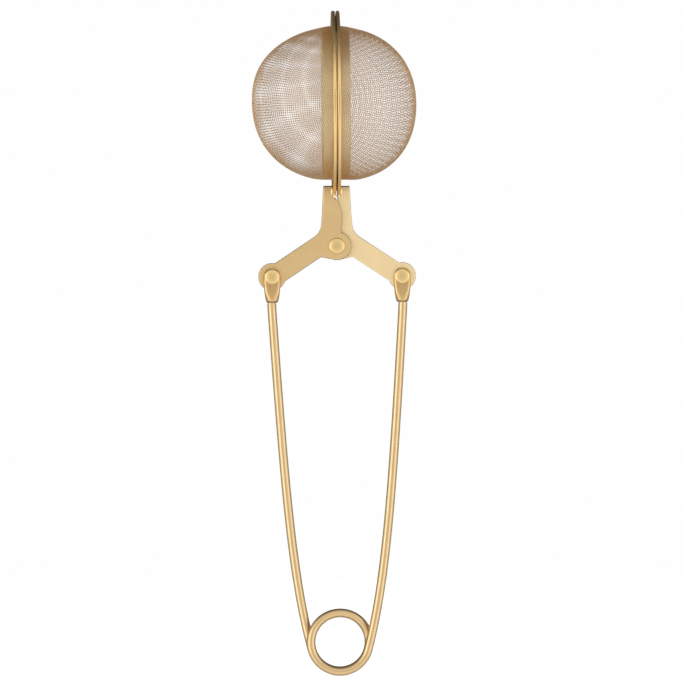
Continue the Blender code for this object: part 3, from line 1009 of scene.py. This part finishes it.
def weave_mesh(name, profile, sizes, lay, dents):
    """A plain weave laid over the bowl: each thread rises and falls over the ones that it crosses.

    lay turns the weave about the ball's axis. The flat mesh is pressed into the bowl, so its threads crowd
    together round the rim, and a little along the way to it. Away from the rim it sags and takes its dents.
    """
    pitch, half = sizes.thread_pitch, sizes.thread / 2
    crowding, sag, free_from = 0.12, 0.3 * MM, 5.0 * MM
    reach = profile[-1][0] / (1.0 - crowding)
    mouth = profile[-1][2]
    count = int(reach / pitch)
    sides = sizes.thread_sides
    points, faces = [], []

    def place(u, v, lift):
        """A point of the flat mesh, laid on the bowl and lifted off it, with the way out."""
        flat = math.hypot(u, v)
        distance = flat * (1.0 - crowding * (flat / reach) ** 2)
        turn = math.atan2(v, u) + lay
        radius, depth, slope = on_profile(profile, distance)
        out = Vector((slope[0], math.cos(turn) * -slope[1], math.sin(turn) * -slope[1]))
        spot = Vector((depth, radius * math.cos(turn), radius * math.sin(turn)))
        settled = smooth_step((depth - mouth) / free_from)
        spot.z -= sag * settled
        return spot + out * (lift + dent(spot, dents) * settled), out

    for family in (0, 1):
        for i in range(-count, count + 1):
            fixed = (i + 0.5) * pitch
            if abs(fixed) >= reach:
                continue
            half_run = math.sqrt(reach * reach - fixed * fixed)
            last = int(half_run / pitch - 0.5)
            stops = [-half_run] + [(j + 0.5) * pitch for j in range(-last - 1, last + 1)] + [half_run]
            crossings = list(range(-last - 1, last + 1))
            lifts = [0.0] + [(1.0 if (i + j + family) % 2 else -1.0) * half for j in crossings] + [0.0]
            line = []
            for run, lift in zip(stops, lifts):
                u, v = (fixed, run) if family == 0 else (run, fixed)
                line.append(place(u, v, lift))
            base = len(points)
            final = len(line) - 1
            for k, (spot, out) in enumerate(line):
                along = (line[min(k + 1, final)][0] - line[max(k - 1, 0)][0]).normalized()
                side = along.cross(out).normalized()
                up = side.cross(along)
                for n in range(sides):
                    turn = 2 * math.pi * (n + 0.5) / sides
                    points.append(spot + (side * math.cos(turn) + up * math.sin(turn)) * half)
            for k in range(final):
                a, b = base + k * sides, base + (k + 1) * sides
                for n in range(sides):
                    m = (n + 1) % sides
                    faces.append((a + n, a + m, b + m, b + n))
            faces.append(tuple(base + n for n in reversed(range(sides))))
            faces.append(tuple(base + final * sides + n for n in range(sides)))
    mesh = mesh_of(name, points, faces)
    mesh.shade_smooth()
    return mesh


class INFUSER_OT_bowls(bpy.types.Operator):
    """Weaves the two mesh bowls thread by thread"""

    bl_idname = "infuser.bowls"
    bl_label = "Woven bowls"

    def execute(self, context):
        sizes, colours = context.scene.infuser_sizes, context.scene.infuser_colours
        material = woven_thread(colours.thread)
        profile = bowl_profile()
        lays = {"left": 0.0, "right": math.radians(14.0)}
        dents = {
            "left": ((math.radians(24.0), 0.75 * MM, 0.30), (math.radians(-12.0), 0.65 * MM, 0.45)),
            "right": ((math.radians(-50.0), 0.45 * MM, 0.35),),
        }
        for side, hand in SIDES:
            mesh = weave_mesh(side + "_woven_bowl", profile, sizes, lays[side], dents[side])
            mesh.transform(Matrix.Translation(BALL_CENTRE))
            turn_to_side(mesh, hand)
            new_piece(side + "_woven_bowl", mesh, material, side + "_jaw", "woven_mesh", side + "_mesh_bowl")
        return {"FINISHED"}


# Brazed joints


class INFUSER_OT_braze(bpy.types.Operator):
    """Runs small beads of braze under and beside each rim, where it sits in its lever's notch"""

    bl_idname = "infuser.braze"
    bl_label = "Brazed joints"

    def execute(self, context):
        colours = context.scene.infuser_colours
        material = melted_braze(colours.braze)
        foot = BALL_CENTRE.z - RIM_RADIUS
        # Each bead has a place, and how far it reaches from there in millimetres.
        under_rim = (RIM_LOW.x + 0.27 * MM, PLATE_LAYER, foot - 0.30 * MM), (0.48, 0.62, 0.80)
        beside_rim = (RIM_HIGH.x + 0.16 * MM, PLATE_LAYER, foot + 0.85 * MM), (0.34, 0.78, 1.45)
        for side, hand in SIDES:
            bm = bmesh.new()
            for place, reach in (under_rim, beside_rim):
                shape = Matrix.LocRotScale(Vector(place), None, Vector(reach))
                bmesh.ops.create_icosphere(bm, subdivisions=4, radius=MM, matrix=shape)
            mesh = as_mesh(bm, side + "_braze_bead")
            mesh.shade_smooth()
            turn_to_side(mesh, hand)
            new_piece(side + "_braze_bead", mesh, material, side + "_jaw", "rim")
        return {"FINISHED"}


# Stage


def white_card(tint):
    """Matt white card: bright and even, with a very faint tooth."""
    material, tree, surface = new_material("white_card")
    point = add_node(tree, "ShaderNodeTexCoord").outputs["Object"]
    tooth = add_node(tree, "ShaderNodeTexNoise", {"Scale": 900.0, "Detail": 2.0}, {"Vector": point})
    tone = add_node(
        tree,
        "ShaderNodeMix",
        {"data_type": "RGBA", 6: shaded(tint, 0.97), 7: shaded(tint, 1.0)},
        {0: tooth.outputs["Fac"]},
    )
    shader = add_node(
        tree,
        "ShaderNodeBsdfPrincipled",
        {"Roughness": 0.9, "Emission Color": shaded(tint, 1.0), "Emission Strength": 0.75},
        {"Base Color": tone.outputs[2]},
    )
    tree.links.new(shader.outputs[0], surface)
    return material


def dome_levels(tree, way, axis, stops):
    """Light levels by how near a direction lies to an axis: stops from straight away to straight along."""
    along = add_node(
        tree,
        "ShaderNodeVectorMath",
        {"operation": "DOT_PRODUCT", 1: tuple(Vector(axis).normalized())},
        {0: way},
    )
    share = mapped(tree, along.outputs["Value"], (-1.0, 1.0), (0.0, 1.0))
    ramp = add_node(tree, "ShaderNodeValToRGB", {}, {0: share})
    while len(ramp.color_ramp.elements) < len(stops):
        ramp.color_ramp.elements.new(0.5)
    for element, (at, amount) in zip(ramp.color_ramp.elements, stops):
        element.position = at
        element.color = (amount, amount, amount, 1.0)
    return ramp.outputs[0]


def studio_world():
    """A white surround to look at, and a soft tent of light: bright in front, dim behind and above.

    The tent has a gap straight in front, so flat faces stay darker than the round ones beside them.
    """
    world = bpy.data.worlds.new("studio_tent")
    bpy.context.scene.world = world
    world.use_nodes = True
    tree = world.node_tree
    tree.nodes.clear()
    way = add_node(tree, "ShaderNodeTexCoord").outputs["Generated"]
    front = ((0.0, 0.42), (0.30, 0.58), (0.70, 1.05), (0.93, 1.2), (0.975, 0.95), (1.0, 0.5))
    glow = dome_levels(tree, way, (0.0, -1.0, 0.0), front)
    back_and_top = ((0.0, 1.0), (0.55, 0.95), (0.80, 0.35), (1.0, 0.20))
    shade = dome_levels(tree, way, (0.0, 0.55, 0.84), back_and_top)
    level = add_node(tree, "ShaderNodeMath", {"operation": "MULTIPLY"}, {0: glow, 1: shade})
    light = add_node(tree, "ShaderNodeBackground", {"Strength": 1.0}, {"Color": level.outputs[0]})
    backdrop = add_node(tree, "ShaderNodeBackground", {"Color": linear("fefefe") + (1.0,), "Strength": 1.0})
    seen = add_node(tree, "ShaderNodeLightPath").outputs["Is Camera Ray"]
    mixed = add_node(
        tree, "ShaderNodeMixShader", {}, {0: seen, 1: light.outputs[0], 2: backdrop.outputs[0]}
    )
    add_node(tree, "ShaderNodeOutputWorld", {}, {"Surface": mixed.outputs[0]})


def add_softbox(name, place, target, width, height, watts):
    lamp = bpy.data.lights.new(name, "AREA")
    lamp.shape = "RECTANGLE"
    lamp.size, lamp.size_y = width, height
    lamp.energy = watts
    box = bpy.data.objects.new(name, lamp)
    bpy.context.scene.collection.objects.link(box)
    box.location = place
    box.rotation_euler = (Vector(target) - Vector(place)).to_track_quat("-Z", "Y").to_euler()
    box.visible_camera = False


class INFUSER_OT_stage(bpy.types.Operator):
    """Lays the pale floor, hangs the soft lights and sets up the camera"""

    bl_idname = "infuser.stage"
    bl_label = "Floor, light and camera"

    def execute(self, context):
        scene = context.scene
        settings = scene.infuser_stage
        scene.view_settings.view_transform = "Standard"
        studio_world()
        reach, level = 0.6, cad_bounds[0][2] - 0.2 * MM
        corners = ((-reach, -reach), (reach, -reach), (reach, reach), (-reach, reach))
        floor = mesh_of("floor", [(x, y, level) for x, y in corners], [(0, 1, 2, 3)])
        floor_piece = bpy.data.objects.new("floor", floor)
        scene.collection.objects.link(floor_piece)
        floor.materials.append(white_card(settings.floor))
        floor_piece.visible_glossy = False
        middle = (0.0, 0.0, 75 * MM)
        add_softbox("left_softbox", (-0.85, -0.60, 0.05), middle, width=0.5, height=0.9, watts=2.2)
        add_softbox("right_softbox", (0.85, -0.55, 0.05), middle, width=0.4, height=0.9, watts=1.1)
        self.add_camera(scene, settings)
        return {"FINISHED"}

    def add_camera(self, scene, settings):
        """A long lens, level with the object's middle and a little to its left, rolled very slightly."""
        roll, turn = math.radians(0.45), math.radians(1.1)
        forward = Vector((math.sin(turn), math.cos(turn), 0.0))
        level = Vector((math.cos(turn), -math.sin(turn), 0.0))
        right = level * math.cos(roll) - Vector((0.0, 0.0, math.sin(roll)))
        up = level * math.sin(roll) + Vector((0.0, 0.0, math.cos(roll)))
        target = Vector((1.08 * MM, 0.0, 74.33 * MM))
        camera_data = bpy.data.cameras.new("long_lens")
        camera_data.lens = camera_data.sensor_width * settings.lens_distance / settings.view_width
        camera_data.clip_end = 10.0
        camera = bpy.data.objects.new("camera", camera_data)
        scene.collection.objects.link(camera)
        matrix = Matrix((right, up, -forward)).transposed().to_4x4()
        matrix.translation = target - forward * settings.lens_distance
        camera.matrix_world = matrix
        scene.camera = camera


# Sidebar and registration


OPERATORS = (
    INFUSER_OT_handle_wire,
    INFUSER_OT_levers,
    INFUSER_OT_ferrules,
    INFUSER_OT_rivets,
    INFUSER_OT_rims,
    INFUSER_OT_bowls,
    INFUSER_OT_braze,
    INFUSER_OT_stage,
)


class INFUSER_PT_sidebar(bpy.types.Panel):
    """Lists the infuser's pieces, sizes and colours"""

    bl_idname = "INFUSER_PT_sidebar"
    bl_label = "Ball tea infuser"
    bl_space_type = "VIEW_3D"
    bl_region_type = "UI"
    bl_category = "Infuser"

    def draw(self, context):
        layout = self.layout
        for operator in OPERATORS:
            layout.operator(operator.bl_idname)
        for group in [getattr(context.scene, name) for name in GROUPS]:
            box = layout.box()
            for name in group.__annotations__:
                box.prop(group, name)


GROUPS = {"infuser_sizes": InfuserSizes, "infuser_colours": InfuserColours, "infuser_stage": InfuserStage}


def register():
    for kind in (*GROUPS.values(), *OPERATORS, INFUSER_PT_sidebar):
        bpy.utils.register_class(kind)
    for name, kind in GROUPS.items():
        setattr(bpy.types.Scene, name, bpy.props.PointerProperty(type=kind))


def unregister():
    for name in GROUPS:
        delattr(bpy.types.Scene, name)
    for kind in reversed((*GROUPS.values(), *OPERATORS, INFUSER_PT_sidebar)):
        bpy.utils.unregister_class(kind)


def main():
    register()
    for operator in OPERATORS:
        group, name = operator.bl_idname.split(".")
        getattr(getattr(bpy.ops, group), name)()


if __name__ == "__main__":
    main()
